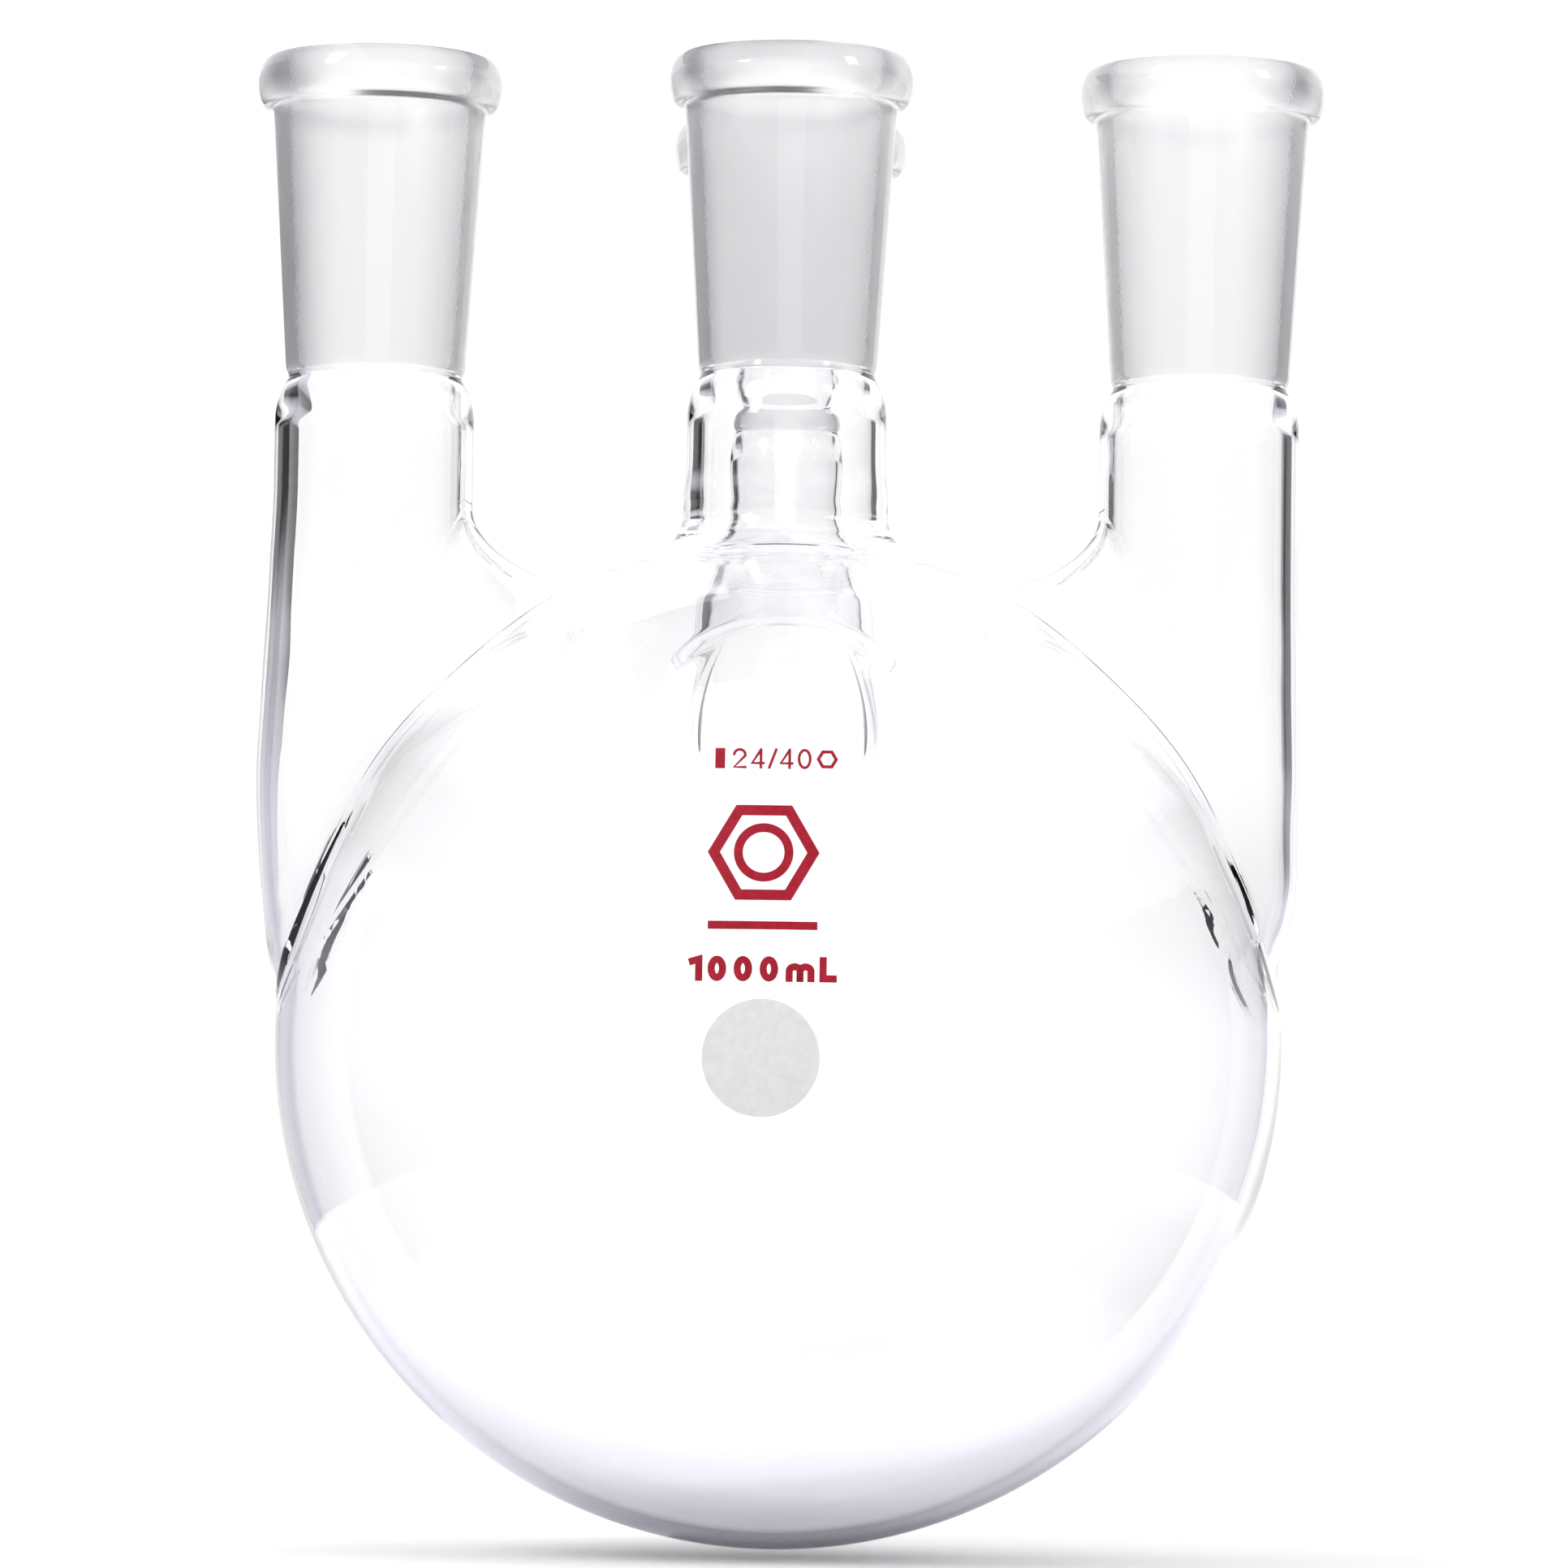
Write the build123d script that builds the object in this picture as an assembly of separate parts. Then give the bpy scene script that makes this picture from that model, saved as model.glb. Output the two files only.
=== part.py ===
from build123d import *
import os
from math import atan2, cos, degrees, radians, sin, sqrt

# A four-neck round bottom flask, 1000 ml, with four vertical 24/40 ground glass sockets.
# Millimetres, +Z up. The origin is the lowest point of the bulb, on the axis that the bulb
# shares with the centre neck. The printed side faces -Y and the fourth neck stands at +Y.

# Bulb
BULB_R = 65.5
BULB_WALL = 2.0
BULB_CENTRE = (0, 0, BULB_R)

# Places of the necks
NECK_SPACING = 54.0  # from the centre axis to the axis of each outer neck
CENTRE_RIM_Z = 195.2
OUTER_RIM_Z = 194.0
CENTRE_SEAM_Z = 136.0  # where the centre neck is sealed to the bulb's own short stub
OUTER_SEAM_RISE = 36.5  # degrees above the equator of the middle of an outer neck's seam
OUTER_SEAM_SPREAD = 24.5  # degrees from that middle to the seam, seen from the bulb's middle

# A neck's clear tail tube
TUBE_R = 13.05
TUBE_WALL = 1.9
TUBE_BORE_R = TUBE_R - TUBE_WALL
STUB_FILLET_R = 8.0  # outside radius where the centre stub grows out of the bulb

# 24/40 socket: 24 mm across at the top of the ground zone, 40 mm long, taper 1 in 10
GROUND_TOP_R = 12.0
GROUND_LENGTH = 40.0
TAPER = 0.1
GROUND_FOOT_R = GROUND_TOP_R - TAPER * GROUND_LENGTH / 2
THROAT_LENGTH = 2.5  # parallel land below the ground zone
SOCKET_TOP_R = 13.9
SOCKET_FOOT_R = 11.8

# Rolled bead round the mouth
BEAD_R = 16.0
BEAD_HEIGHT = 6.9
BEAD_TOP_R = 14.1
RIM_ROUND = 0.9

# Groove and shoulder between the socket and the tube, as depths below the ground zone
GROOVE_R = 11.45
GROOVE_TOP = 0.6
GROOVE_FOOT = 1.5
SHOULDER_FOOT = 6.7

# Foot of an outer neck: the tube ends in a ball end that is blended into the bulb
BALL_R = 14.6
BALL_X = 53.4  # from the centre axis
BALL_Z = 92.0
FOOT_FILLET_R = 6.0  # outside radius
FOOT_TOP_Z = 142.0

# Fired enamel marks, as places in the front view: across, then up
ENAMEL = 0.12
MARK_X = -2.1
SPOT_Z = 61.9
SPOT_R = 7.2
CAPACITY_Z = 71.2
CAPACITY_HEIGHT = 3.1
CAPACITY_BREADTH = 1.19  # the bold number is set this much wider than the plain glyphs
BAR_Z = 78.1
BAR_SIZE = (13.4, 1.0)
EMBLEM_Z = 87.15
EMBLEM_R = 7.0
JOINT_SIZE_Z = 97.8
JOINT_SIZE_HEIGHT = 2.6

# Glyph proportions, as shares of the glyph height
GLYPH_WIDTH = 0.66
GLYPH_PITCH = 0.86


def line_between(start, end, width):
    """A straight pen stroke with square ends."""
    across = end[0] - start[0]
    up = end[1] - start[1]
    middle = ((start[0] + end[0]) / 2, (start[1] + end[1]) / 2)
    stroke = Rectangle(sqrt(across**2 + up**2), width)
    return Pos(*middle) * Rot(Z=degrees(atan2(up, across))) * stroke


def strokes(points, width):
    """A chain of straight strokes with round corners."""
    chain = [line_between(a, b, width) for a, b in zip(points, points[1:])]
    corners = [Pos(*p) * Circle(width / 2) for p in points[1:-1]]
    return Sketch() + chain + corners


def zero(height, width, breadth):
    w = GLYPH_WIDTH * height * breadth
    outside = Ellipse(w / 2, height / 2)
    inside = Ellipse(w / 2 - width, height / 2 - width)
    return Pos(w / 2, height / 2) * (outside - inside)


def one(height, width, breadth):
    stem_x = 0.45 * height * breadth
    return strokes([(0.12 * height * breadth, 0.74 * height), (stem_x, height - width / 2), (stem_x, 0)], width)


def two(height, width, breadth):
    w = GLYPH_WIDTH * height * breadth
    bowl_r = (w - width) / 2
    bowl_y = height - width / 2 - bowl_r
    ring = Circle(bowl_r + width / 2) - Circle(bowl_r - width / 2)
    upper = ring - Pos(0, -height / 2 - 0.25 * bowl_r) * Rectangle(height, height)
    foot_y = width / 2
    tail_start = (w - width / 2, bowl_y - 0.1 * bowl_r)
    tail = strokes([tail_start, (width, foot_y), (w, foot_y)], width)
    return Pos(w / 2, bowl_y) * upper + tail


def four(height, width, breadth):
    w = GLYPH_WIDTH * height * breadth
    bar_y = 0.27 * height
    stem_x = 0.72 * w
    slope = strokes([(stem_x, height - width / 2), (width / 2, bar_y), (w, bar_y)], width)
    stem = line_between((stem_x, height), (stem_x, 0), width)
    return slope + stem


def slash(height, width, breadth):
    return line_between((0, 0), (0.36 * height * breadth, height), width)


def small_m(height, width, breadth):
    x_height = 0.74 * height
    pitch = 0.36 * height * breadth
    stem_xs = [i * pitch + width / 2 for i in range(3)]
    stems = [line_between((x, 0), (x, 0.7 * x_height), width) for x in stem_xs]
    arch_r = pitch / 2
    arch = Circle(arch_r + width / 2) - Circle(arch_r - width / 2)
    arch -= Pos(0, -height / 2) * Rectangle(height, height)
    arch_y = x_height - arch_r - width / 2
    arches = [Pos(i * pitch + width / 2 + arch_r, arch_y) * arch for i in range(2)]
    return Sketch() + stems + arches


def capital_l(height, width, breadth):
    foot = 0.6 * height * breadth
    return strokes([(width / 2, height), (width / 2, width / 2), (foot, width / 2)], width)


GLYPHS = {"0": zero, "1": one, "2": two, "4": four, "/": slash, "m": small_m, "L": capital_l}
ADVANCE = {"1": 0.72, "/": 0.5, "m": 1.12}  # shares of the height, where not GLYPH_PITCH


def lettering(text, height, width, breadth=1):
    """The glyphs of a number, side by side, centred on x = 0 with their feet at y = 0."""
    placed = []
    x = 0
    for letter in text:
        placed.append(Pos(x, 0) * GLYPHS[letter](height, width, breadth))
        x += ADVANCE.get(letter, GLYPH_PITCH) * height * breadth
    sketch = Sketch() + placed
    box = sketch.bounding_box()
    return Pos(-(box.min.X + box.max.X) / 2, 0) * sketch


def enamel_mark(sketch, x, z):
    """A mark on the front of the bulb: the sketch's shadow on a thin skin over the glass."""
    skin = Sphere(BULB_R + ENAMEL) - Sphere(BULB_R)
    skin = Pos(*BULB_CENTRE) * skin
    stencil = Plane.XZ * Pos(x, z) * sketch
    return skin & extrude(stencil, BULB_R + 1, dir=(0, -1, 0))


def stub_profile(tube_r, bulb_r, fillet_r, top_z):
    """Half section of the centre stub, with the fillet that blends it into the bulb."""
    fillet_x = tube_r + fillet_r
    fillet_z = BULB_R + sqrt((bulb_r + fillet_r) ** 2 - fillet_x**2)
    reach = bulb_r / (bulb_r + fillet_r)
    foot_x = fillet_x * reach
    foot_z = BULB_R + (fillet_z - BULB_R) * reach
    lean = (atan2(foot_z - fillet_z, foot_x - fillet_x) + radians(-180)) / 2
    belly = (fillet_x + fillet_r * cos(lean), fillet_z + fillet_r * sin(lean))
    edge = Polyline((0, foot_z - 4), (foot_x - 4, foot_z - 4), (foot_x, foot_z))
    edge += ThreePointArc((foot_x, foot_z), belly, (tube_r, fillet_z))
    edge += Polyline((tube_r, fillet_z), (tube_r, top_z), (0, top_z), (0, foot_z - 4))
    return Plane.XZ * make_face(edge)


def outer_foot(inset, top_z):
    """The ball end and tube of the right-hand neck, drawn in by inset all round."""
    ball = Pos(BALL_X, 0, BALL_Z) * Sphere(BALL_R - inset)
    upwards = (Align.CENTER, Align.CENTER, Align.MIN)
    tube = Cylinder(TUBE_R - inset, top_z - BALL_Z, align=upwards)
    return ball + Pos(NECK_SPACING, 0, BALL_Z) * tube


def outer_seam_region():
    """Everything on the right-hand neck's side of the flat seam that seals it to the bulb."""
    rise = radians(OUTER_SEAM_RISE)
    facing = Vector(cos(rise), 0, sin(rise))
    middle = Vector(*BULB_CENTRE) + facing * BULB_R * cos(radians(OUTER_SEAM_SPREAD))
    beyond = (Align.CENTER, Align.CENTER, Align.MIN)
    seam_plane = Plane(middle, x_dir=(0, 1, 0), z_dir=facing)
    return seam_plane * Box(3 * BULB_R, 3 * BULB_R, 2 * BULB_R, align=beyond)


def around(shape):
    """The same shape for the right, rear and left necks."""
    return [Rot(Z=angle) * shape for angle in (0, 90, 180)]


def foot_junctions(body, bulb_r):
    """The edges that run along the bulb round the foot of an outer neck."""
    found = []
    for edge in body.edges():
        places = [edge.position_at(share) for share in (0.1, 0.3, 0.5)]
        on_bulb = all(abs((p - Vector(*BULB_CENTRE)).length - bulb_r) < 0.01 for p in places)
        beside_foot = all(p.Z > BALL_Z - BALL_R and sqrt(p.X**2 + p.Y**2) > NECK_SPACING / 2 for p in places)
        if on_bulb and beside_foot:
            found.append(edge)
    return found


def bubble(inset, stub_top_z, foot_top_z):
    """The bulb, the centre stub and the three feet as one solid, drawn in by inset."""
    bulb_r = BULB_R - (BULB_WALL if inset else 0)
    profile = stub_profile(TUBE_R - inset, bulb_r, STUB_FILLET_R + inset, stub_top_z)
    body = Pos(*BULB_CENTRE) * Sphere(bulb_r) + revolve(profile)
    for foot in around(outer_foot(inset, foot_top_z)):
        body += foot
    return fillet(foot_junctions(body, bulb_r), FOOT_FILLET_R + inset)


def blown_glass():
    """The bulb and the feet of the necks as one thin shell, before it is parted at the seams."""
    return bubble(0, CENTRE_SEAM_Z, FOOT_TOP_Z) - bubble(TUBE_WALL, CENTRE_SEAM_Z + 1, FOOT_TOP_Z + 1)


def neck_tube(rim_z, foot_z):
    """A neck from its bead down to foot_z, on the centre axis."""
    ground_foot_z = rim_z - RIM_ROUND - GROUND_LENGTH
    bead_z = rim_z - BEAD_HEIGHT
    shoulder_z = ground_foot_z - SHOULDER_FOOT
    groove_foot = (GROOVE_R, ground_foot_z - GROOVE_FOOT)
    throat_foot = (GROUND_FOOT_R, ground_foot_z - THROAT_LENGTH)
    rim_inner = (GROUND_TOP_R + RIM_ROUND, rim_z)
    bore_top = (GROUND_TOP_R, rim_z - RIM_ROUND)
    outside = Polyline((TUBE_BORE_R, foot_z), (TUBE_R, foot_z), (TUBE_R, shoulder_z))
    outside += Spline((TUBE_R, shoulder_z), groove_foot, tangents=((0, 1), (-0.8, 0.6)))
    socket = [groove_foot, (GROOVE_R, ground_foot_z - GROOVE_TOP)]
    socket += [(SOCKET_FOOT_R, ground_foot_z), (SOCKET_TOP_R, bead_z)]
    outside += Polyline(*socket)
    outside += ThreePointArc((SOCKET_TOP_R, bead_z), (BEAD_R, rim_z - BEAD_HEIGHT / 2), (BEAD_TOP_R, rim_z))
    outside += Line((BEAD_TOP_R, rim_z), rim_inner)
    inside = RadiusArc(rim_inner, bore_top, -RIM_ROUND)
    inside += Polyline(bore_top, (GROUND_FOOT_R, ground_foot_z), throat_foot)
    inside += Spline(throat_foot, (TUBE_BORE_R, shoulder_z - 1), tangents=((0, -1), (0, -1)))
    inside += Line((TUBE_BORE_R, shoulder_z - 1), (TUBE_BORE_R, foot_z))
    return revolve(Plane.XZ * make_face(outside + inside))


def emblem():
    """A hexagon outline round a ring: a plain sign of no one's."""
    hexagon = RegularPolygon(EMBLEM_R, 6) - RegularPolygon(EMBLEM_R - 1.5, 6)
    ring = Circle(0.52 * EMBLEM_R) - Circle(0.36 * EMBLEM_R)
    return hexagon + ring


def joint_size():
    """The number of the ground joints between a small taper sign and a small hexagon."""
    height = JOINT_SIZE_HEIGHT
    taper_sign = Polygon((-0.5, 0), (0.5, 0), (0.9, height), (-0.9, height), align=None)
    small_hexagon = RegularPolygon(1.45, 6) - RegularPolygon(1.0, 6)
    numbers = lettering("24/40", height, 0.34)
    return numbers + Pos(-6.2, 0) * taper_sign + Pos(7.2, height / 2) * small_hexagon


glass = blown_glass()
regions = around(outer_seam_region())
bulb = glass
for region in regions:
    bulb -= region

outer_tube = Pos(NECK_SPACING, 0, 0) * neck_tube(OUTER_RIM_Z, FOOT_TOP_Z)
outer_necks = [(glass & region) + tube for region, tube in zip(regions, around(outer_tube))]

capacity = lettering("1000mL", CAPACITY_HEIGHT, 0.68, CAPACITY_BREADTH)
parts = {
    "bulb": bulb,
    "centre_neck": neck_tube(CENTRE_RIM_Z, CENTRE_SEAM_Z),
    "right_neck": outer_necks[0],
    "rear_neck": outer_necks[1],
    "left_neck": outer_necks[2],
    "marking_spot": enamel_mark(Circle(SPOT_R), MARK_X, SPOT_Z),
    "capacity_print": enamel_mark(capacity, MARK_X, CAPACITY_Z),
    "name_bar_print": enamel_mark(SlotOverall(*BAR_SIZE), MARK_X, BAR_Z),
    "emblem_print": enamel_mark(emblem(), MARK_X, EMBLEM_Z),
    "joint_size_print": enamel_mark(joint_size(), MARK_X + 0.3, JOINT_SIZE_Z),
}

os.makedirs("parts", exist_ok=True)
for name, shape in parts.items():
    export_step(shape, f"parts/{name}.step")
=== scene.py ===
from math import asin, atan2, cos, exp, pi, radians, sin, sqrt

import bmesh
import bpy
from mathutils import Matrix, Vector


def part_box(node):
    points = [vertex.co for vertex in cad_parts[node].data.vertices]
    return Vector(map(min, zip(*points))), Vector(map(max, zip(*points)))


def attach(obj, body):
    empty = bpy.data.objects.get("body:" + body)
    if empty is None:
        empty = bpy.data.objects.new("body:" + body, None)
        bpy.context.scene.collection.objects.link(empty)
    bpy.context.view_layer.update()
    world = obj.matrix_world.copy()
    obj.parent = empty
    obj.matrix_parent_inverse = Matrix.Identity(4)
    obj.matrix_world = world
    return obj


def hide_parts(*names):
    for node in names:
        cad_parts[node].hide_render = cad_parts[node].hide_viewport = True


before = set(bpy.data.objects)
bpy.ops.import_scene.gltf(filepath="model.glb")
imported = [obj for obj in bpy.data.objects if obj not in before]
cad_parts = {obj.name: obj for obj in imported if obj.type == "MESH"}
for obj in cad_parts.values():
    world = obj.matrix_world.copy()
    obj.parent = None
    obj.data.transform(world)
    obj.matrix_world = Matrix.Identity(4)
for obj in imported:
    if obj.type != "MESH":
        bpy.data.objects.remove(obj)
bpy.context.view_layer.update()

# ---------------------------------------------------------------- dimensions, in millimetres
MM = 0.001


def middle_mm(node):
    """The middle of a CAD node's box across and deep."""
    low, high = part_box(node)
    return [(a + b) / 2 / MM for a, b in zip(low, high)]


def top_mm(node):
    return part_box(node)[1][2] / MM


# The bulb and the stub under the centre neck
BULB_R = 65.5
BULB_WALL = 2.0
CENTRE = Vector((0, 0, BULB_R))
STUB_TOP = top_mm("bulb")
STUB_FILLET = 8.0
STUB_FOOT = 128.0  # the wavy weld is above this height
STUB_RIPPLES = [(0.38, 133.4, 0.55), (0.25, 131.3, 0.6)]  # depth, height and width of the ridges inside

# Clear tube of a neck
TUBE_R = 13.05
TUBE_WALL = 1.9
BORE_R = TUBE_R - TUBE_WALL
SHOULDER_DROP = 6.7  # from the foot of the ground zone down to the tube's full width
GROOVE_R = 11.45

# 24/40 socket
GROUND_TOP_R = 12.0
GROUND_FOOT_R = 10.0
GROUND_LENGTH = 40.0
THROAT_LENGTH = 2.5
RIM_ROUND = 0.9
SOCKET_TOP_R = 13.9
SOCKET_FOOT_R = 11.8

# Rolled bead round the mouth
BEAD_R = 16.0
BEAD_TOP_R = 14.2
BEAD_HEIGHT = 6.9

# Places of the necks
CENTRE_RIM = top_mm("centre_neck")
OUTER_RIM = top_mm("right_neck")
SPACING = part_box("right_neck")[1][0] / MM - BEAD_R
HEADINGS = {"right_neck": 0.0, "rear_neck": pi / 2, "left_neck": pi}

# The drawn-out foot of an outer neck, as angles seen from the bulb's middle
FOOT_RISE = radians(35.5)
SEAM_SPREAD = radians(33.5)
HOLE_MARGIN = radians(0.8)  # the strip of the bulb between its own grid and a foot's seam
FOOT_TOP = 137.0  # height where the foot becomes the straight tube
HEELS = {"right_neck": (0.15, 0.8), "rear_neck": (0.5, 0.2), "left_neck": (1.45, 0.1)}  # swell and kink

# Enamel marks
ENAMEL_LOW = 0.015
ENAMEL_HIGH = 0.10
SPOT_R = 7.2
CAPACITY_HEIGHT = 3.1
JOINT_SIZE_HEIGHT = 2.6

# How finely the meshes are drawn
COLUMNS = 192
BULB_COLUMNS = 256
ENAMEL_STEP = 0.4
GLASS_CORNER = radians(40)
ENAMEL_CORNER = radians(50)

# Places in a neck's list of materials
GLASS, GROUND, SEAM = 0, 1, 2


# ---------------------------------------------------------------- mesh helpers
def new_object(name, verts, faces, materials, face_slots):
    mesh = bpy.data.meshes.new(name)
    mesh.from_pydata([[c * MM for c in v] for v in verts], [], faces)
    for m in materials:
        mesh.materials.append(m)
    mesh.polygons.foreach_set("material_index", face_slots)
    mesh.polygons.foreach_set("use_smooth", [True] * len(faces))
    mesh.update()
    obj = bpy.data.objects.new(name, mesh)
    bpy.context.scene.collection.objects.link(obj)
    return obj


def mark_sharp(obj, limit):
    """Keeps real corners crisp: an edge is sharp where its faces turn by more than limit."""
    bm = bmesh.new()
    bm.from_mesh(obj.data)
    bmesh.ops.recalc_face_normals(bm, faces=bm.faces)
    for edge in bm.edges:
        turned = len(edge.link_faces) == 2 and edge.calc_face_angle(0) > limit
        edge.smooth = not turned
    bm.to_mesh(obj.data)
    bm.free()


def torus_grid(rings):
    """Faces of a grid whose rings close on themselves, and whose last ring joins the first."""
    count = len(rings[0])
    verts = [p for ring in rings for p in ring]
    faces = []
    for i in range(len(rings)):
        a = i * count
        b = (i + 1) % len(rings) * count
        for j in range(count):
            k = (j + 1) % count
            faces.append((a + j, a + k, b + k, b + j))
    return verts, faces


def arc(centre, radius, start, end, steps):
    """Points of an arc in a half section, from angle start to end in degrees."""
    turn = [radians(start + (end - start) * i / steps) for i in range(steps + 1)]
    return [(centre[0] + radius * cos(a), centre[1] + radius * sin(a)) for a in turn]


def curve(p0, t0, p1, t1, steps):
    """A Hermite curve between two points, in two or three dimensions."""
    points = []
    for i in range(steps + 1):
        t = i / steps
        h00 = 2 * t**3 - 3 * t**2 + 1
        h10 = t**3 - 2 * t**2 + t
        h01 = 3 * t**2 - 2 * t**3
        h11 = t**3 - t**2
        points.append(tuple(h00 * a + h10 * b + h01 * c + h11 * d for a, b, c, d in zip(p0, t0, p1, t1)))
    return points


def line(p0, p1, steps):
    return [tuple(a + (b - a) * i / steps for a, b in zip(p0, p1)) for i in range(steps + 1)]


def bump(x, middle, width):
    """A smooth hump of height 1."""
    return exp(-(((x - middle) / width) ** 2))


def stub_flare(z):
    """How far the outside widens at the weld between the stub and the centre neck."""
    return 0.42 * bump(z, STUB_TOP + 0.6, 2.6)


# ---------------------------------------------------------------- necks
def neck_section(rim, foot):
    """Half section of a neck as (r, z) points up the outside, over the rim and down the bore.
    Also gives the places in that list where the ground zone starts and ends."""
    ground_foot = rim - RIM_ROUND - GROUND_LENGTH
    shoulder = ground_foot - SHOULDER_DROP
    groove = (GROOVE_R, ground_foot - 1.5)
    groove_top = (GROOVE_R + 0.1, ground_foot - 0.5)
    socket_foot = (SOCKET_FOOT_R, ground_foot + 0.6)
    out = line((TUBE_R, foot), (TUBE_R, shoulder), 14)
    out += curve((TUBE_R, shoulder), (0, 5.8), groove, (-2.3, 3.4), 18)[1:]
    out += curve(groove, (-0.5, 0.4), groove_top, (0.5, 0.5), 6)[1:]
    out += curve(groove_top, (0.4, 0.4), socket_foot, (0, 0.8), 6)[1:]

    bead_foot = rim - BEAD_HEIGHT
    socket_top = (SOCKET_TOP_R, bead_foot - 0.4)
    bead_start = (SOCKET_TOP_R + 0.9, bead_foot + 0.35)
    bead_widest = (BEAD_R, rim - BEAD_HEIGHT / 2 + 0.2)
    out += line(socket_foot, socket_top, 30)[1:]
    out += curve(socket_top, (0.3, 1.2), bead_start, (1.4, 0.3), 6)[1:]
    out += curve(bead_start, (2.6, 0.5), bead_widest, (0, 4.2), 14)[1:]
    out += curve(bead_widest, (0, 3.8), (BEAD_TOP_R, rim), (-3.4, 0), 14)[1:]
    mouth_r = GROUND_TOP_R + RIM_ROUND
    out += line((BEAD_TOP_R, rim), (mouth_r, rim), 3)[1:]
    out += arc((mouth_r, rim - RIM_ROUND), RIM_ROUND, 90, 180, 8)[1:]

    ground_start = len(out) - 1
    out += line((GROUND_TOP_R, rim - RIM_ROUND), (GROUND_FOOT_R, ground_foot), 40)[1:]
    ground_end = len(out) - 1
    throat_foot = ground_foot - THROAT_LENGTH
    bore_top = throat_foot - 5.2
    out += line((GROUND_FOOT_R, ground_foot), (GROUND_FOOT_R, throat_foot), 3)[1:]
    out += curve((GROUND_FOOT_R, throat_foot), (0, -4.5), (BORE_R, bore_top), (0, -4.5), 12)[1:]
    out += line((BORE_R, bore_top), (BORE_R, foot), 14)[1:]
    return out, ground_start, ground_end


def revolved_rings(section, x, y, start):
    """One ring per section point, turned so that column 0 faces start."""
    rings = []
    for r, z in section:
        turn = [start - 2 * pi * j / COLUMNS for j in range(COLUMNS)]
        rings.append([(x + r * cos(a), y + r * sin(a), z) for a in turn])
    return rings


def seam_direction(spread, around, heading):
    """A direction from the bulb's middle: spread away from the foot's middle, around it from the top."""
    facing = Vector((cos(FOOT_RISE), 0, sin(FOOT_RISE)))
    up = Vector((-sin(FOOT_RISE), 0, cos(FOOT_RISE)))
    side = Vector((0, 1, 0))
    d = facing * cos(spread) + (up * cos(around) + side * sin(around)) * sin(spread)
    return Matrix.Rotation(heading, 3, "Z") @ d


def heel_shape(z, swell, kink):
    """How far the hand-drawn heel of a foot stands out at height z, in millimetres."""
    rise = min(1.0, max(0.0, (z - 68.5) / 10.0))
    rise = rise * rise * (3 - 2 * rise)
    return rise * (swell * bump(z, 88, 33) + kink * bump(z, 86, 6)) - kink * bump(z, 75.5, 3.5)


def outer_tube_r(z):
    """Radius of an outer neck's tube, which swells a little just above its foot."""
    return TUBE_R + 0.35 * bump(z, 98, 16)


def foot_column(around, swell, kink):
    """The outside of a drawn-out foot along one column, from the seam up to FOOT_TOP, for the neck at +X.
    It leaves the bulb at the angle lift from the foot's middle and becomes the tube at the height level."""
    lift = radians(25.5 - 0.5 * cos(around) + 7.0 * cos(2 * around))
    level = 115.25 + 16.5 * cos(around) + 3.25 * cos(2 * around)
    on_bulb = [SEAM_SPREAD + (lift - SEAM_SPREAD) * i / 6 for i in range(7)]
    points = [tuple(CENTRE + seam_direction(a, around, 0) * BULB_R) for a in on_bulb]
    start = Vector(points[-1])
    ahead = CENTRE + seam_direction(lift - 0.001, around, 0) * BULB_R
    along = (ahead - start).normalized()
    theta = pi - around
    full_r = outer_tube_r(level)
    end = Vector((SPACING + full_r * cos(theta), full_r * sin(theta), level))
    reach = (end - start).length
    points += curve(start, along * reach * 0.92, end, Vector((0, 0, 1)) * reach * 0.92, 30)[1:]
    for i in range(1, 13):
        z = level + (FOOT_TOP - level) * i / 12
        r = outer_tube_r(z)
        points.append((SPACING + r * cos(theta), r * sin(theta), z))
    column = [Vector(p) for p in points]
    heel = max(0.0, -cos(around)) ** 2
    for p in column[7:-1]:
        out = heel * heel_shape(p.z, swell, kink) * min(1.0, (FOOT_TOP - p.z) / 8)
        p.x += out * cos(theta)
        p.y += out * sin(theta)
    return column


def foot_rings(swell, kink):
    """Outer and inner rings of a foot. The inner ones lie one wall inside the outer ones."""
    columns = [foot_column(2 * pi * j / COLUMNS, swell, kink) for j in range(COLUMNS)]
    steps = len(columns[0])
    outer = [[columns[j][i] for j in range(COLUMNS)] for i in range(steps)]
    inner = []
    for i in range(steps):
        wall = BULB_WALL + (TUBE_WALL - BULB_WALL) * i / (steps - 1)
        ring = []
        for j in range(COLUMNS):
            p = outer[i][j]
            if i == 0:
                n = (p - CENTRE).normalized()
            elif i == steps - 1:
                n = Vector((p.x - SPACING, p.y, 0)).normalized()
            else:
                along = outer[i + 1][j] - outer[i - 1][j]
                across = outer[i][(j + 1) % COLUMNS] - outer[i][j - 1]
                n = along.cross(across).normalized()
            ring.append(p - n * wall)
        inner.append(ring)
    return outer, inner


def welded(rings, first, last, height):
    """A low uneven ridge where the glass was sealed, run along the rings between first and last."""
    for i in range(first, last):
        share = (i - first) / (last - first)
        for j, p in enumerate(rings[i]):
            wobble = 0.6 + 0.4 * sin(5 * 2 * pi * j / COLUMNS) * cos(3 * 2 * pi * j / COLUMNS + 1.0)
            n = (p - CENTRE).normalized()
            rings[i][j] = p + n * height * wobble * sin(pi * share) ** 2


def neck_slots(count, ground_start, ground_end):
    """The material place of each face: ground zone, fused seam (the last row) or clear glass."""
    slots = []
    for i in range(count):
        slots += [GROUND if ground_start <= i < ground_end else SEAM if i == count - 1 else GLASS] * COLUMNS
    return slots


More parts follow.
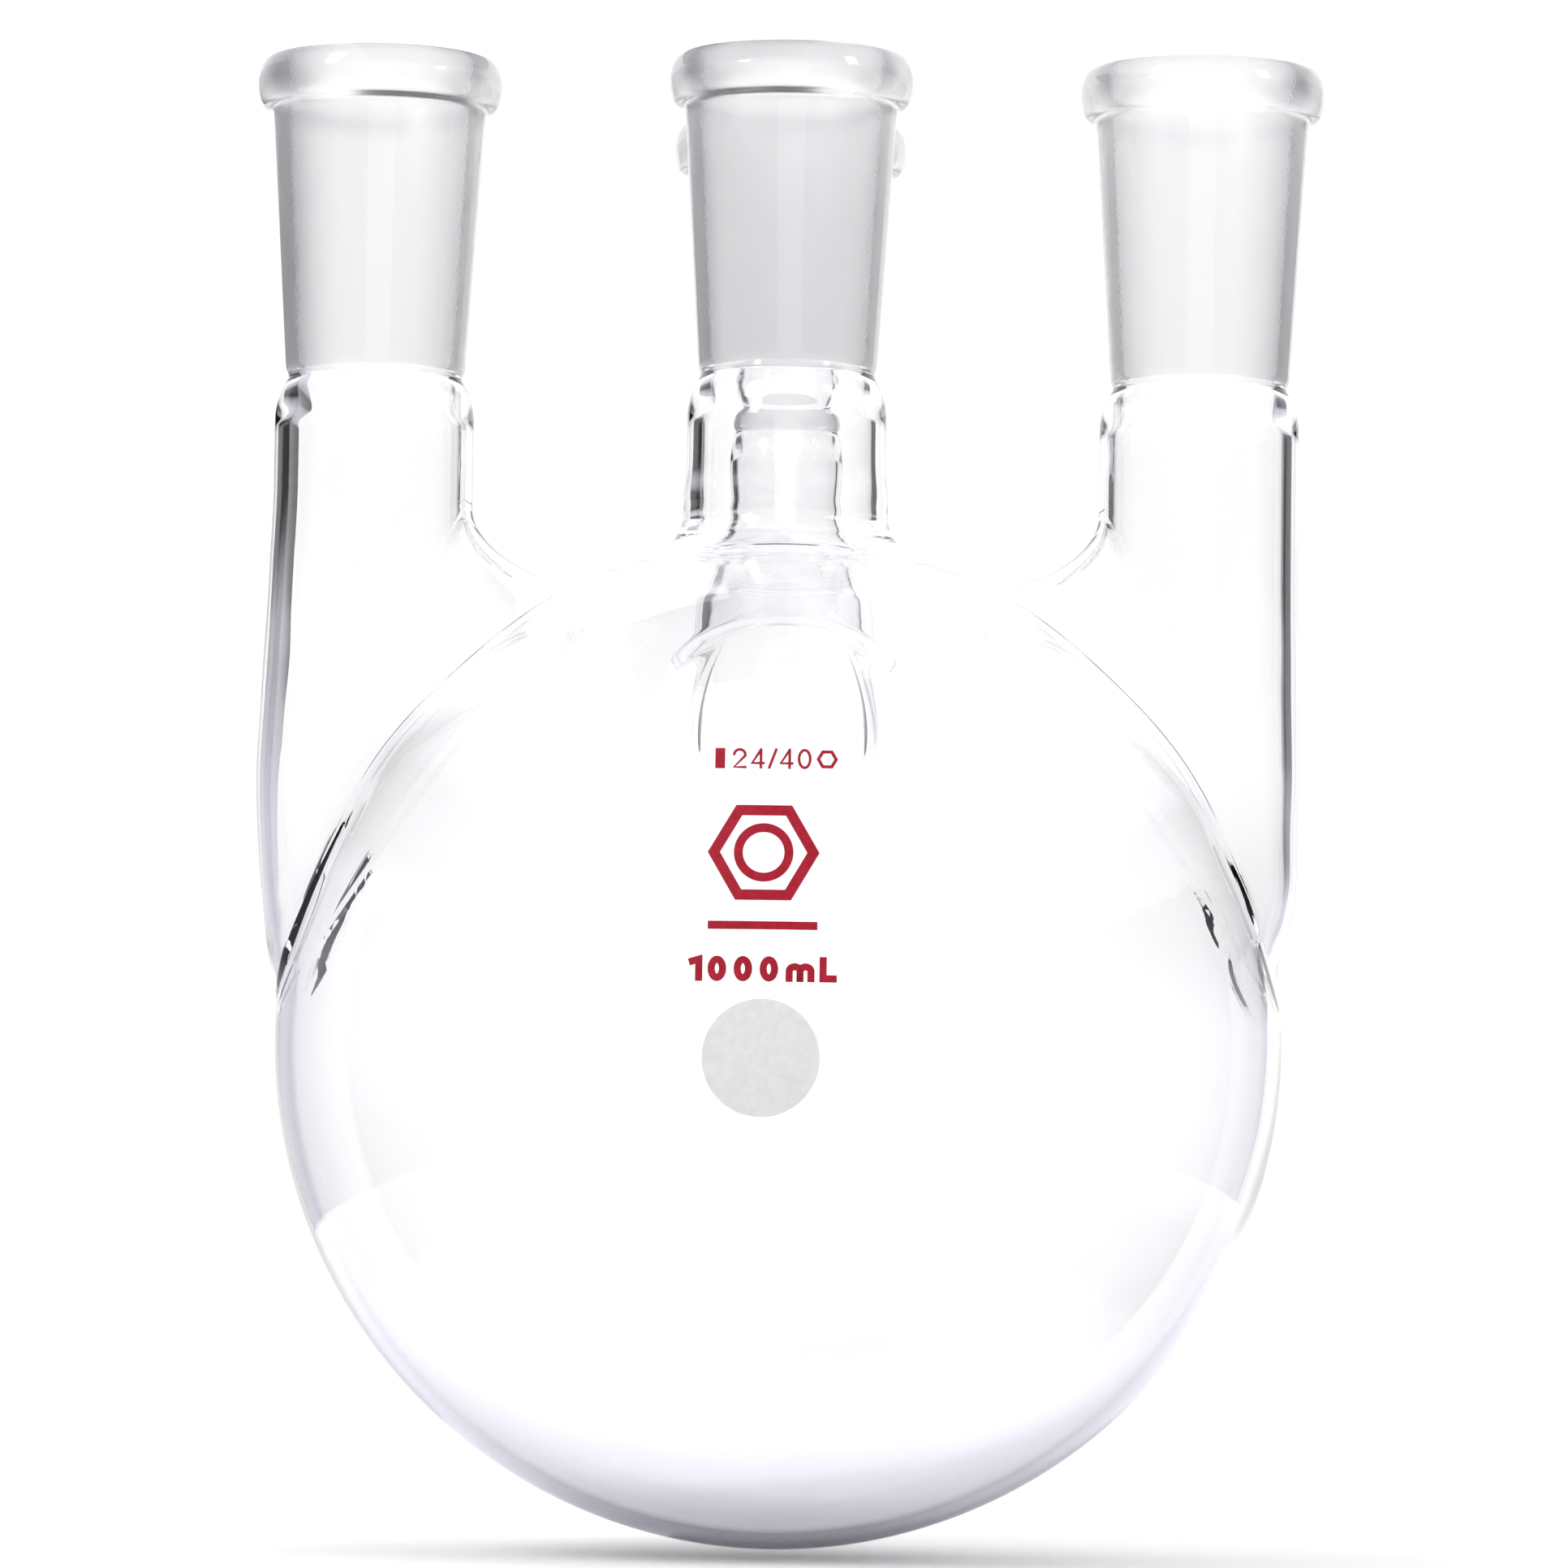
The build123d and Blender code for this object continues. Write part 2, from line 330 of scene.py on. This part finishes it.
def outer_neck(name, heading, heel, materials):
    outer, inner = foot_rings(*heel)
    welded(outer, 11, 18, 0.07)
    welded(outer, 38, 43, 0.20)
    section, ground_start, ground_end = neck_section(OUTER_RIM, FOOT_TOP)
    neck = revolved_rings(section, SPACING, 0, pi)
    rings = outer[:-1] + neck + inner[-2::-1]
    shift = len(outer) - 1
    verts, faces = torus_grid(rings)
    slots = neck_slots(len(rings), shift + ground_start, shift + ground_end)
    turned = Matrix.Rotation(heading, 3, "Z")
    obj = new_object(name, [turned @ Vector(v) for v in verts], faces, materials, slots)
    mark_sharp(obj, GLASS_CORNER)
    return obj


def centre_neck(name, materials):
    section, ground_start, ground_end = neck_section(CENTRE_RIM, STUB_TOP)
    lifted = []
    for i, (r, z) in enumerate(section):
        outside = i < len(section) / 2
        lifted.append((r + (1 if outside else 0.3) * stub_flare(z), z))
    rings = revolved_rings(lifted, 0, 0, pi)
    verts, faces = torus_grid(rings)
    slots = neck_slots(len(rings), ground_start, ground_end)
    obj = new_object(name, verts, faces, materials, slots)
    mark_sharp(obj, GLASS_CORNER)
    return obj


# ---------------------------------------------------------------- bulb
def bulb_section(inset):
    """Half section of the bulb and its short stub, from the bottom pole up to the stub's top.
    The inset is 0 for the outside and the tube's wall for the inside."""
    radius = BULB_R - (BULB_WALL if inset else 0)
    tube = TUBE_R - inset
    fillet = STUB_FILLET + inset
    fx = tube + fillet
    fz = BULB_R + sqrt((radius + fillet) ** 2 - fx**2)
    tip = 90 - asin(fx / (radius + fillet)) * 180 / pi
    points = arc((0, BULB_R), radius, -89.5, tip, 120)
    points += arc((fx, fz), fillet, 180 + tip, 180, 14)[1:]
    if fz < STUB_TOP - 0.05:
        points += line((tube, fz), (tube, STUB_TOP), 3)[1:]
    else:
        points[-1] = (tube, STUB_TOP)
    shaped = []
    for r, z in points:
        if z > STUB_FOOT:
            r += (0.3 if inset else 1) * stub_flare(z)
            if inset:
                r -= sum(depth * bump(z, height, width) for depth, height, width in STUB_RIPPLES)
        shaped.append((r, z))
    return shaped


def around_foot(p, heading):
    """Which way a point lies round a foot's middle, as the angle that seam_direction takes."""
    d = Matrix.Rotation(-heading, 3, "Z") @ (p - CENTRE)
    up = Vector((-sin(FOOT_RISE), 0, cos(FOOT_RISE)))
    return atan2(d.y, d.dot(up)) % (2 * pi)


def zipped(bm, ragged, regular):
    """Fills the strip between two loops that run the same way round, each a list of (angle, vertex)."""
    i = j = 0
    while i < len(ragged) or j < len(regular):
        va = ragged[i % len(ragged)][1]
        vb = regular[j % len(regular)][1]
        a1 = ragged[(i + 1) % len(ragged)][0] + (2 * pi if i + 1 >= len(ragged) else 0)
        b1 = regular[(j + 1) % len(regular)][0] + (2 * pi if j + 1 >= len(regular) else 0)
        if j >= len(regular) or (i < len(ragged) and a1 <= b1):
            bm.faces.new((va, ragged[(i + 1) % len(ragged)][1], vb))
            i += 1
        else:
            bm.faces.new((va, regular[(j + 1) % len(regular)][1], vb))
            j += 1


def bulb_skin(bm, inset, headings):
    """One side of the bulb's wall, with a round hole for each foot.
    Gives the loops of the holes and of the stub."""
    radius = BULB_R - (BULB_WALL if inset else 0)
    turn = [2 * pi * j / BULB_COLUMNS for j in range(BULB_COLUMNS)]
    rings = [[bm.verts.new((r * cos(a), r * sin(a), z)) for a in turn] for r, z in bulb_section(inset)]
    pole = bm.verts.new((0, 0, BULB_R - radius))
    for j in range(BULB_COLUMNS):
        bm.faces.new((pole, rings[0][(j + 1) % BULB_COLUMNS], rings[0][j]))
    for a, b in zip(rings, rings[1:]):
        for j in range(BULB_COLUMNS):
            k = (j + 1) % BULB_COLUMNS
            bm.faces.new((a[j], a[k], b[k], b[j]))
    holes = []
    for heading in headings:
        facing = seam_direction(0, 0, heading)
        spread = SEAM_SPREAD + HOLE_MARGIN
        near = [f for f in bm.faces if (f.calc_center_median() - CENTRE).dot(facing) > radius * 0.5]
        geom = list(dict.fromkeys(v for f in near for v in f.verts))  # keeps the order, as a set doesn't
        geom += list(dict.fromkeys(e for f in near for e in f.edges)) + near
        plane = CENTRE + facing * radius * cos(spread)
        cut = bmesh.ops.bisect_plane(
            bm, geom=geom, dist=1e-6, plane_co=plane, plane_no=facing, clear_outer=True
        )
        edge_verts = dict.fromkeys(v for v in cut["geom_cut"] if isinstance(v, bmesh.types.BMVert))
        ragged = []
        for v in edge_verts:
            angle = around_foot(v.co, heading)
            v.co = CENTRE + seam_direction(spread, angle, heading) * radius
            ragged.append((angle, v))
        ragged.sort(key=lambda pair: pair[0])
        regular = []
        for j in range(COLUMNS):
            angle = 2 * pi * j / COLUMNS
            place = CENTRE + seam_direction(SEAM_SPREAD, angle, heading) * radius
            regular.append((angle, bm.verts.new(place)))
        zipped(bm, ragged, regular)
        holes.append([v for _, v in regular])
    return holes, rings[-1]


def bulb(name, headings, materials):
    """The bulb's two skins, joined round each hole and round the top of the stub."""
    skins = []
    for inset in (0, TUBE_WALL):
        bm = bmesh.new()
        holes, stub = bulb_skin(bm, inset, headings)
        bm.verts.index_update()
        verts = [tuple(v.co) for v in bm.verts]
        faces = [tuple(v.index for v in f.verts) for f in bm.faces]
        loops = [[v.index for v in hole] for hole in holes] + [[v.index for v in stub]]
        skins.append((verts, faces, loops))
        bm.free()
    (va, fa, la), (vb, fb, lb) = skins
    shift = len(va)
    verts = va + vb
    faces = fa + [tuple(i + shift for i in f) for f in fb]
    slots = [0] * len(faces)
    for outer, inner in zip(la, lb):
        for j in range(len(outer)):
            k = (j + 1) % len(outer)
            faces.append((outer[j], outer[k], inner[k] + shift, inner[j] + shift))
            slots.append(1)  # the faces that meet a neck
    obj = new_object(name, verts, faces, materials, slots)
    mark_sharp(obj, GLASS_CORNER)
    return obj


# ---------------------------------------------------------------- enamel marks
def on_glass(x, z, lift):
    """The point of the bulb's front that shows at x, z, lifted off the glass."""
    r = BULB_R + lift
    return (x, -sqrt(r * r - x * x - (z - BULB_R) ** 2), z)


def ribbon(verts, faces, points, width, closed):
    """A band of enamel along a line in the front view, as a closed thin solid on the glass."""
    corners = len(points)
    sides = []
    for i, p in enumerate(points):
        before = points[i - 1] if closed or i > 0 else None
        after = points[(i + 1) % corners] if closed or i < corners - 1 else None
        normals = []
        for a, b in ((before, p), (p, after)):
            if a is None or b is None:
                continue
            dx, dz = b[0] - a[0], b[1] - a[1]
            length = sqrt(dx * dx + dz * dz)
            normals.append((-dz / length, dx / length))
        nx = sum(n[0] for n in normals) / len(normals)
        nz = sum(n[1] for n in normals) / len(normals)
        reach = width / 2 / max(nx * nx + nz * nz, 0.35)
        sides.append(((p[0] + nx * reach, p[1] + nz * reach), (p[0] - nx * reach, p[1] - nz * reach)))

    rows = []
    for i in range(corners if closed else corners - 1):
        j = (i + 1) % corners
        length = sqrt((points[i][0] - points[j][0]) ** 2 + (points[i][1] - points[j][1]) ** 2)
        count = max(1, int(length / ENAMEL_STEP))
        for k in range(count):
            t = k / count
            pairs = zip(sides[i], sides[j])
            rows.append([(u[0] + (v[0] - u[0]) * t, u[1] + (v[1] - u[1]) * t) for u, v in pairs])
    if not closed:
        rows.append(list(sides[-1]))

    base = len(verts)
    for left, right in rows:
        verts += [on_glass(*left, ENAMEL_LOW), on_glass(*left, ENAMEL_HIGH)]
        verts += [on_glass(*right, ENAMEL_HIGH), on_glass(*right, ENAMEL_LOW)]
    n = len(rows)
    for i in range(n if closed else n - 1):
        a = base + 4 * i
        b = base + 4 * ((i + 1) % n)
        for k in range(4):
            m = (k + 1) % 4
            faces.append((a + k, a + m, b + m, b + k))
    if not closed:
        faces.append((base + 3, base + 2, base + 1, base))
        e = base + 4 * (n - 1)
        faces.append((e, e + 1, e + 2, e + 3))


def oval(x, z, rx, rz, count=40):
    return [(x + rx * cos(2 * pi * i / count), z + rz * sin(2 * pi * i / count)) for i in range(count)]


def glyph(letter, x, z, h, w):
    """The pen strokes of one character, as (points, closed), with its left foot at x, z.
    The character is h tall and its strokes are w wide. What isn't named below is an m."""
    g = 0.66 * h - w
    if letter == "0":
        return [(oval(x + w / 2 + g / 2, z + h / 2, g / 2, h / 2 - w / 2), True)]
    if letter == "1":
        return [([(x + 0.12 * h, z + 0.74 * h), (x + 0.45 * h, z + h - w / 2), (x + 0.45 * h, z)], False)]
    if letter == "2":
        r = g / 2
        top = z + h - w / 2 - r
        turn = [radians(-5 + 195 * i / 20) for i in range(21)]
        bow = [(x + w / 2 + r - r * cos(a), top + r * sin(a)) for a in turn]
        return [(bow + [(x + w / 2, z + w / 2), (x + 0.66 * h, z + w / 2)], False)]
    if letter == "4":
        s = x + 0.48 * h
        bar = z + 0.27 * h
        angle = [(s, z + h - w / 2), (x + w / 2, bar), (x + 0.66 * h, bar)]
        return [(angle, False), ([(s, z + h), (s, z)], False)]
    if letter == "/":
        return [([(x, z), (x + 0.36 * h, z + h)], False)]
    if letter == "L":
        return [([(x + w / 2, z + h), (x + w / 2, z + w / 2), (x + 0.6 * h, z + w / 2)], False)]
    made = []
    tall = 0.74 * h
    pitch = 0.36 * h
    r = pitch / 2
    turn = [pi * k / 14 for k in range(15)]
    for i in range(2):
        left = x + w / 2 + i * pitch
        arch = [(left + r - r * cos(a), z + tall - r - w / 2 + r * sin(a)) for a in turn]
        made.append(([(left, z)] + arch + [(left + pitch, z)], False))
    return made


PLAIN_ADVANCE = 0.86  # how far the pen moves on after a character, in heights
ADVANCE = {"1": 0.72, "/": 0.5, "m": 1.12}


def numbers(text, x, z, h, w, breadth=1.0):
    """The strokes of a number centred on x, with its feet at z, set breadth times wider than plain."""
    total = sum(ADVANCE.get(c, PLAIN_ADVANCE) for c in text) * h - 0.2 * h
    pen = -total / 2
    made = []
    for c in text:
        made += glyph(c, pen, z, h, w)
        pen += ADVANCE.get(c, PLAIN_ADVANCE) * h
    return [([(x + a * breadth, b) for a, b in points], w, closed) for points, closed in made]


def enamel(name, strokes, look):
    """One mark of several strokes, each (points, width, closed)."""
    verts, faces = [], []
    for points, width, closed in strokes:
        ribbon(verts, faces, points, width, closed)
    obj = new_object(name, verts, faces, [look], [0] * len(faces))
    mark_sharp(obj, ENAMEL_CORNER)
    return obj


def enamel_disc(name, x, z, radius, look):
    verts = [on_glass(x, z, ENAMEL_LOW), on_glass(x, z, ENAMEL_HIGH)]
    faces = []
    count, steps = 96, 14
    grid = {}
    for layer, lift in enumerate((ENAMEL_LOW, ENAMEL_HIGH)):
        for s in range(1, steps + 1):
            for j in range(count):
                a = 2 * pi * j / count
                grid[layer, s, j] = len(verts)
                r = radius * s / steps
                verts.append(on_glass(x + r * cos(a), z + r * sin(a), lift))
    for layer in (0, 1):
        for j in range(count):
            k = (j + 1) % count
            faces.append((layer, grid[layer, 1, j], grid[layer, 1, k]))
            for s in range(1, steps):
                near, far = (layer, s), (layer, s + 1)
                faces.append((grid[(*near, j)], grid[(*far, j)], grid[(*far, k)], grid[(*near, k)]))
    for j in range(count):
        k = (j + 1) % count
        faces.append((grid[0, steps, j], grid[0, steps, k], grid[1, steps, k], grid[1, steps, j]))
    obj = new_object(name, verts, faces, [look], [0] * len(faces))
    mark_sharp(obj, ENAMEL_CORNER)
    return obj


# ---------------------------------------------------------------- materials
def material(name):
    m = bpy.data.materials.new(name)
    m.use_nodes = True
    return m, m.node_tree, m.node_tree.nodes["Principled BSDF"]


def add_noise(tree, scale, detail=2.0, roughness=0.5):
    where = tree.nodes.new("ShaderNodeTexCoord")
    noise = tree.nodes.new("ShaderNodeTexNoise")
    noise.inputs["Scale"].default_value = scale
    noise.inputs["Detail"].default_value = detail
    noise.inputs["Roughness"].default_value = roughness
    tree.links.new(where.outputs["Object"], noise.inputs["Vector"])
    return noise


def spread(tree, noise, low, high):
    """The noise, brought to the range from low to high."""
    ranged = tree.nodes.new("ShaderNodeMapRange")
    ranged.inputs["From Min"].default_value = 0.3
    ranged.inputs["From Max"].default_value = 0.7
    ranged.inputs["To Min"].default_value = low
    ranged.inputs["To Max"].default_value = high
    tree.links.new(noise.outputs["Fac"], ranged.inputs["Value"])
    return ranged.outputs["Result"]


def add_bump(tree, shader, noise, strength, distance):
    node = tree.nodes.new("ShaderNodeBump")
    node.inputs["Strength"].default_value = strength
    node.inputs["Distance"].default_value = distance
    tree.links.new(noise.outputs["Fac"], node.inputs["Height"])
    tree.links.new(node.outputs["Normal"], shader.inputs["Normal"])


def clear_glass():
    m, tree, glass = material("clear_glass_painted_edge_shade_look")
    # Face-on the colour is the glass's own faint tint. Towards grazing angles it is painted darker and
    # lavender, as painted shade that draws the dark edge lines.
    facing = tree.nodes.new("ShaderNodeLayerWeight")
    facing.inputs["Blend"].default_value = 0.5
    tint_and_edge_shade = tree.nodes.new("ShaderNodeValToRGB")
    stops = tint_and_edge_shade.color_ramp.elements
    stops[0].position = 0.55
    stops[0].color = (0.985, 0.985, 0.989, 1)
    stops[1].position = 1.0
    stops[1].color = (0.42, 0.40, 0.46, 1)
    middle = stops.new(0.84)
    middle.color = (0.93, 0.92, 0.95, 1)
    tree.links.new(facing.outputs["Facing"], tint_and_edge_shade.inputs["Fac"])
    tree.links.new(tint_and_edge_shade.outputs["Color"], glass.inputs["Base Color"])
    glass.inputs["Transmission Weight"].default_value = 1.0
    glass.inputs["IOR"].default_value = 1.473
    glass.inputs["Roughness"].default_value = 0.0
    add_bump(tree, glass, add_noise(tree, 34, 0.0), 0.2, 0.0005)
    return m


def frosted_glass():
    m, tree, glass = material("ground_glass_look")
    glass.inputs["Base Color"].default_value = (1.0, 0.995, 1.0, 1)
    glass.inputs["Transmission Weight"].default_value = 0.85
    glass.inputs["IOR"].default_value = 1.473
    tree.links.new(spread(tree, add_noise(tree, 420, 6.0), 0.32, 0.40), glass.inputs["Roughness"])
    add_bump(tree, glass, add_noise(tree, 2600, 3.0), 0.25, 0.00005)
    return m


def fused_seam():
    m = bpy.data.materials.new("fused_seam_look")
    m.use_nodes = True
    tree = m.node_tree
    tree.nodes.remove(tree.nodes["Principled BSDF"])
    through = tree.nodes.new("ShaderNodeBsdfTransparent")
    through.inputs["Color"].default_value = (1, 1, 1, 1)
    tree.links.new(through.outputs["BSDF"], tree.nodes["Material Output"].inputs["Surface"])
    return m


def enamel_look(name, low, high):
    m, tree, coat = material(name)
    ramp = tree.nodes.new("ShaderNodeValToRGB")
    ramp.color_ramp.elements[0].position = 0.35
    ramp.color_ramp.elements[0].color = (*low, 1)
    ramp.color_ramp.elements[1].position = 0.65
    ramp.color_ramp.elements[1].color = (*high, 1)
    tree.links.new(add_noise(tree, 900, 4.0).outputs["Fac"], ramp.inputs["Fac"])
    coat.inputs["Specular IOR Level"].default_value = 0.15
    tree.links.new(ramp.outputs["Color"], coat.inputs["Base Color"])
    tree.links.new(spread(tree, add_noise(tree, 500), 0.32, 0.5), coat.inputs["Roughness"])
    add_bump(tree, coat, add_noise(tree, 3200, 3.0), 0.3, 0.00003)
    return m


def plain(name, colour, roughness=0.9):
    m, tree, shader = material(name)
    shader.inputs["Base Color"].default_value = (*colour, 1)
    shader.inputs["Roughness"].default_value = roughness
    return m


glass_look = clear_glass()
ground_look = frosted_glass()
seam_look = fused_seam()
# Both enamel colours are set darker than the enamel itself, as painted shade for the dimly lit front of the
# flask. The noise between each pair of colours is the enamel's own uneven tone.
red_with_painted_shade = enamel_look("red_enamel_painted_shade_look", (0.23, 0.004, 0.014), (0.29, 0.007, 0.022))
white_with_painted_shade = enamel_look("white_enamel_painted_shade_look", (0.49, 0.49, 0.50), (0.53, 0.53, 0.54))

# ---------------------------------------------------------------- the flask
neck_looks = [glass_look, ground_look, seam_look]
pieces = {"bulb": bulb("flask_bulb", list(HEADINGS.values()), [glass_look, seam_look])}
pieces["centre_neck"] = centre_neck("flask_centre_neck", neck_looks)
for node, heading in HEADINGS.items():
    pieces[node] = outer_neck("flask_" + node, heading, HEELS[node], neck_looks)

spot_x, _, spot_z = middle_mm("marking_spot")
bar_x, _, bar_z = middle_mm("name_bar_print")
emblem_x, _, emblem_z = middle_mm("emblem_print")
capacity_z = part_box("capacity_print")[0][2] / MM
joint_x, _, _ = middle_mm("joint_size_print")
joint_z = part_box("joint_size_print")[0][2] / MM
hexagon = oval(emblem_x, emblem_z, 6.1, 6.1, 6)
ring = oval(emblem_x, emblem_z, 3.1, 3.1, 48)
pieces["marking_spot"] = enamel_disc("flask_marking_spot", spot_x, spot_z, SPOT_R, white_with_painted_shade)
pieces["emblem_print"] = enamel("flask_emblem_print", [(hexagon, 1.3, True), (ring, 1.1, True)], red_with_painted_shade)
bar = [([(bar_x - 6.7, bar_z), (bar_x + 6.7, bar_z)], 1.0, False)]
pieces["name_bar_print"] = enamel("flask_name_bar_print", bar, red_with_painted_shade)
capacity = numbers("1000mL", spot_x, capacity_z, CAPACITY_HEIGHT, 0.88, 1.19)
pieces["capacity_print"] = enamel("flask_capacity_print", capacity, red_with_painted_shade)
joint_size = numbers("24/40", joint_x - 0.2, joint_z, JOINT_SIZE_HEIGHT, 0.34)
taper_sign = [(joint_x - 6.6, joint_z), (joint_x - 6.6, joint_z + JOINT_SIZE_HEIGHT)]
small_hexagon = oval(joint_x + 6.6, joint_z + JOINT_SIZE_HEIGHT / 2, 1.1, 1.1, 6)
joint_size += [(taper_sign, 1.2, False), (small_hexagon, 0.4, True)]
pieces["joint_size_print"] = enamel("flask_joint_size_print", joint_size, red_with_painted_shade)

for node, piece in pieces.items():
    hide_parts(node)
    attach(piece, "root")

# ---------------------------------------------------------------- studio, in metres
FLOOR_Z = -0.001
SWEEP_START = 0.9
SWEEP_R = 0.5
SWEEP_HALF_WIDTH = 1.8


def stage_plane(name, corners, look):
    mesh = bpy.data.meshes.new(name)
    mesh.from_pydata(corners, [], [(0, 1, 2, 3)])
    mesh.materials.append(look)
    obj = bpy.data.objects.new(name, mesh)
    bpy.context.scene.collection.objects.link(obj)
    return obj


def sweep(look):
    """A seamless floor that curves up into the backdrop."""
    profile = [(-1.6, FLOOR_Z), (SWEEP_START, FLOOR_Z)]
    for a in range(6, 91, 6):
        y = SWEEP_START + SWEEP_R * sin(radians(a))
        profile.append((y, FLOOR_Z + SWEEP_R - SWEEP_R * cos(radians(a))))
    profile += [(SWEEP_START + SWEEP_R, 1.8)]
    verts = [(x, y, z) for y, z in profile for x in (-SWEEP_HALF_WIDTH, SWEEP_HALF_WIDTH)]
    faces = [(2 * i, 2 * i + 1, 2 * i + 3, 2 * i + 2) for i in range(len(profile) - 1)]
    mesh = bpy.data.meshes.new("studio_sweep")
    mesh.from_pydata(verts, [], faces)
    mesh.materials.append(look)
    mesh.polygons.foreach_set("use_smooth", [True] * len(faces))
    obj = bpy.data.objects.new("studio_sweep", mesh)
    bpy.context.scene.collection.objects.link(obj)


sweep(plain("studio_white", (0.93, 0.93, 0.93)))


def shade_card(name, corners, look):
    """A card that is seen in the glass only, where it draws the dark lines."""
    obj = stage_plane(name, corners, look)
    obj.visible_camera = False
    obj.visible_diffuse = False
    obj.visible_shadow = False


def card_grey(shade):
    """The cards are a little lavender."""
    return (shade, shade * 0.97, min(1.0, shade * 1.08))


def graded(name, levels, axis):
    """A matt card whose shade changes along one axis: levels are (metres, shade)."""
    m, tree, shader = material(name)
    shader.inputs["Roughness"].default_value = 1.0
    where = tree.nodes.new("ShaderNodeTexCoord")
    parts = tree.nodes.new("ShaderNodeSeparateXYZ")
    tree.links.new(where.outputs["Object"], parts.inputs["Vector"])
    first, last = levels[0][0], levels[-1][0]
    share = tree.nodes.new("ShaderNodeMapRange")
    share.inputs["From Min"].default_value = first
    share.inputs["From Max"].default_value = last
    tree.links.new(parts.outputs[axis], share.inputs["Value"])
    ramp = tree.nodes.new("ShaderNodeValToRGB")
    stops = ramp.color_ramp.elements
    while len(stops) < len(levels):
        stops.new(0.5)
    for stop, (place_m, shade) in zip(stops, levels):
        stop.position = (place_m - first) / (last - first)
        stop.color = (*card_grey(shade), 1)
    tree.links.new(share.outputs["Result"], ramp.inputs["Fac"])
    tree.links.new(ramp.outputs["Color"], shader.inputs["Base Color"])
    return m


def level_card(name, x0, x1, y0, y1, z, look):
    shade_card(name, [(x0, y0, z), (x1, y0, z), (x1, y1, z), (x0, y1, z)], look)


def side_card(name, x, y0, y1, levels):
    """An upright card as high as its levels go."""
    top = levels[-1][0]
    corners = [(x, y0, 0.0), (x, y1, 0.0), (x, y1, top), (x, y0, top)]
    shade_card(name, corners, graded(name + "_look", levels, "Z"))


# Shades by height: pale beside the bulb, dark beside the tubes and sockets, paler at the beads
LEFT_SHADES = [
    (0.0, 0.50), (0.10, 0.55), (0.138, 0.34), (0.153, 0.010), (0.20, 0.010), (0.215, 0.30), (0.25, 0.60)
]
RIGHT_SHADES = [
    (0.0, 0.52), (0.08, 0.55), (0.12, 0.12), (0.145, 0.05), (0.20, 0.06), (0.215, 0.40), (0.25, 0.70)
]
# Shades from the front to the back
FLOOR_SHADES = [(-0.85, 0.46), (-0.20, 0.52), (-0.05, 0.68), (0.05, 0.75), (0.13, 0.80), (0.24, 0.95)]

side_card("card_left", -0.18, -0.75, 0.36, LEFT_SHADES)
side_card("card_right", 0.22, -0.75, 0.26, RIGHT_SHADES)
level_card("card_floor", -0.6, 0.6, -0.85, 0.24, -0.0005, graded("card_floor_look", FLOOR_SHADES, "Y"))
level_card("card_over", -0.060, 0.006, -0.050, 0.030, 0.212, plain("card_over_look", card_grey(0.02), 1.0))

world = bpy.data.worlds.new("studio")
bpy.context.scene.world = world
world.use_nodes = True
world.node_tree.nodes["Background"].inputs["Color"].default_value = (1, 1, 1, 1)
world.node_tree.nodes["Background"].inputs["Strength"].default_value = 1.11


def softbox(name, place, target, size, power):
    light = bpy.data.lights.new(name, "AREA")
    light.shape = "RECTANGLE"
    light.size, light.size_y = size
    light.energy = power
    obj = bpy.data.objects.new(name, light)
    obj.location = place
    obj.rotation_euler = (Vector(target) - Vector(place)).to_track_quat("-Z", "Y").to_euler()
    bpy.context.scene.collection.objects.link(obj)


softbox("softbox_left", (-0.75, -0.7, 0.75), (0, 0, 0.08), (0.25, 0.7), 6)
softbox("softbox_right", (0.9, -0.5, 0.5), (0, 0, 0.1), (0.2, 0.6), 3)

# ---------------------------------------------------------------- camera
place = Vector((0.0, -1.0, 0.036))
target = Vector((0.000293, 0.0, 0.09949))
roll = 0.0141
ahead = (target - place).normalized()
right = ahead.cross(Vector((0, 0, 1))).normalized()
up = right.cross(ahead)
cam_x = right * cos(roll) + up * sin(roll)
cam_y = up * cos(roll) - right * sin(roll)
camera = bpy.data.cameras.new("camera")
camera.lens = 176.2
camera.sensor_width = 36
camera.clip_start = 0.01
camera_obj = bpy.data.objects.new("camera", camera)
turn = Matrix((cam_x, cam_y, -ahead)).transposed().to_4x4()
camera_obj.matrix_world = Matrix.Translation(place) @ turn
bpy.context.scene.collection.objects.link(camera_obj)
bpy.context.scene.camera = camera_obj

scene = bpy.context.scene
scene.view_settings.view_transform = "Standard"
scene.cycles.max_bounces = 28
scene.cycles.transmission_bounces = 24
scene.cycles.glossy_bounces = 10
scene.cycles.transparent_max_bounces = 24
